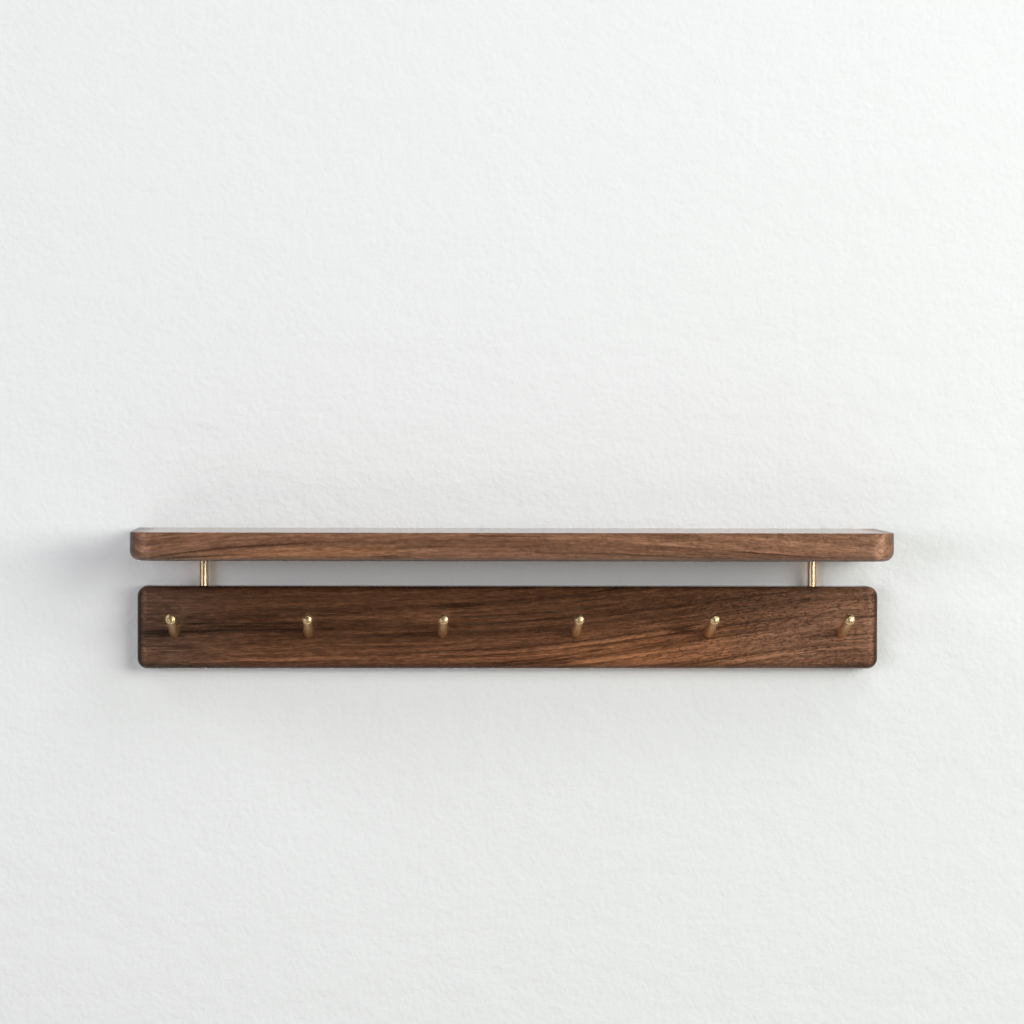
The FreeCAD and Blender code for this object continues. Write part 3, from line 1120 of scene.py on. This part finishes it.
def lamp(name, azimuth, elevation, width, height, power, colour, spread=180):
    """A soft lamp turned to the object; azimuth 0 is in front, 90 to the right, 180 behind."""
    light = bpy.data.lights.new(name, "AREA")
    light.shape = "RECTANGLE"
    light.size = width
    light.size_y = height
    light.energy = power
    light.color = colour
    light.spread = math.radians(spread)
    holder = bpy.data.objects.new(name, light)
    turn, lift = math.radians(azimuth), math.radians(elevation)
    away = Vector((math.sin(turn) * math.cos(lift), -math.cos(turn) * math.cos(lift), math.sin(lift)))
    holder.location = lamp_centre + away * lamp_distance
    holder.rotation_euler = (-away).to_track_quat("-Z", "Y").to_euler()
    holder.visible_camera = False
    bpy.context.scene.collection.objects.link(holder)
    return holder


def window(name, metal_glint, *settings):
    """A lamp in three parts: its light, its glint in the metal, and a softer glint on the
    oiled boards, whose tops would otherwise mirror it as plain white. Each glint stands a
    little further out, so that one doesn't hide the next."""
    lamp(name, *settings).visible_glossy = False
    glints = (("metal", metal_pieces, metal_glint, 1.01), ("boards", boards, board_glint, 1.02))
    for part, pieces, share, further in glints:
        glint = lamp(name + "_on_" + part, *settings)
        glint.location = lamp_centre + (glint.location - lamp_centre) * further
        glint.data.energy *= share
        glint.visible_diffuse = False
        glint.light_linking.receiver_collection = pieces


def collection_of(name, pieces):
    group = bpy.data.collections.new(name)
    for piece in pieces:
        group.objects.link(piece)
    return group


board_glint = 0.12
boards = collection_of("boards", [shelf, rail])
metal_pieces = collection_of("metal_pieces", [posts, pegs, peg_screws, hangers, hanger_screws])

lamp_centre = Vector((0, 0, 0.02))
lamp_distance = 3.2
wall_y = 0.0004                 # just behind the backs of the boards
wall_half = 4.0
floor_z = -1.3
ceiling_z = 2.6
wall_paint = plaster("wall_paint", (0.82, 0.82, 0.81), True)
floor_paint = plaster("floor_paint", (0.36, 0.34, 0.31), False)
wall = sheet("wall", [
    (-wall_half, wall_y, floor_z), (wall_half, wall_y, floor_z),
    (wall_half, wall_y, ceiling_z), (-wall_half, wall_y, ceiling_z),
], wall_paint)
wall.visible_shadow = False
sheet("floor", [
    (-wall_half, -wall_half, floor_z), (wall_half, -wall_half, floor_z),
    (wall_half, wall_half, floor_z), (-wall_half, wall_half, floor_z),
], floor_paint)

window("window_low", 1.1, 41, 8.5, 2.3, 0.85, 54, (0.96, 1.0, 0.945))
window("window_high", 1.0, 41, 24, 2.3, 0.8, 26, (0.95, 0.98, 0.98))
window("far_window", 0.35, -38, 5, 2.2, 0.8, 32.5, (0.90, 0.91, 1.0))
window("lit_floor", 0.5, -26, -15, 1.2, 0.6, 7.5, (1.0, 0.94, 0.88))
window("ceiling_left", 0.8, -60, 42, 1.15, 0.8, 14, (0.92, 0.97, 1.0))
window("ceiling_right", 1.0, 20, 50, 1.15, 0.8, 17.5, (0.92, 0.92, 1.0))
lamp("behind", 180, -24, 1.6, 0.8, 22, (1.0, 1.0, 1.0), 60)

world = bpy.data.worlds.new("room")
world.use_nodes = True
world.node_tree.nodes["Background"].inputs["Color"].default_value = (0.88, 0.90, 0.93, 1)
world.node_tree.nodes["Background"].inputs["Strength"].default_value = 0.05
bpy.context.scene.world = world
bpy.context.scene.view_settings.view_transform = "Standard"

camera_data = bpy.data.cameras.new("camera")
camera_data.sensor_width = 36
camera_data.lens = 125
camera = bpy.data.objects.new("camera", camera_data)
camera.location = (-0.1087, -2.8918, 0.1705)
camera_yaw = math.radians(2.21)
camera_pitch = math.radians(1.532)
camera_roll = math.radians(0.159)
aim = Matrix.Rotation(-camera_yaw, 4, "Z") @ Matrix.Rotation(math.pi / 2 - camera_pitch, 4, "X")
aim = aim @ Matrix.Rotation(camera_roll, 4, "Z")
camera.rotation_euler = aim.to_euler()
bpy.context.scene.collection.objects.link(camera)
bpy.context.scene.camera = camera
